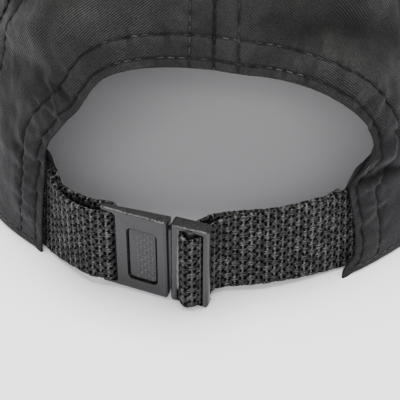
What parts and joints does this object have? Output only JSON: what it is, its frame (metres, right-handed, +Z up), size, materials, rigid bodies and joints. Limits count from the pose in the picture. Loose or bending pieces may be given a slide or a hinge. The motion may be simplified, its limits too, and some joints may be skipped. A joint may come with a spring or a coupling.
{
  "type": "sports cap",
  "caption": "Dark sports cap with a curved peak and an arched back opening closed by a webbing strap with a side buckle.",
  "frame": {"origin": "bottom centre of the whole cap, on the surface that it stands on", "axes": "+Z up, +Y forward along the peak, +X to the right seen from behind; the buckle faces -Y"},
  "size_m": [0.16, 0.2698, 0.1216],
  "materials": {
    "crown_cloth": "fine matt nylon twill, charcoal",
    "band_cloth": "matt knitted sweatband, near black",
    "webbing": "coarse woven webbing, near black",
    "buckle_plastic": "satin moulded plastic, dark grey"
  },
  "bodies": {
    "root": {"panel_back_right": "crown_cloth", "panel_side_right": "crown_cloth", "panel_front_right": "crown_cloth", "panel_front_left": "crown_cloth", "panel_side_left": "crown_cloth", "panel_back_left": "crown_cloth", "peak": "crown_cloth", "top_button": "crown_cloth", "sweatband": "band_cloth", "strap_left": "webbing", "strap_right": "webbing", "buckle_socket": "buckle_plastic", "buckle_tongue": "buckle_plastic"}
  },
  "joints": []
}
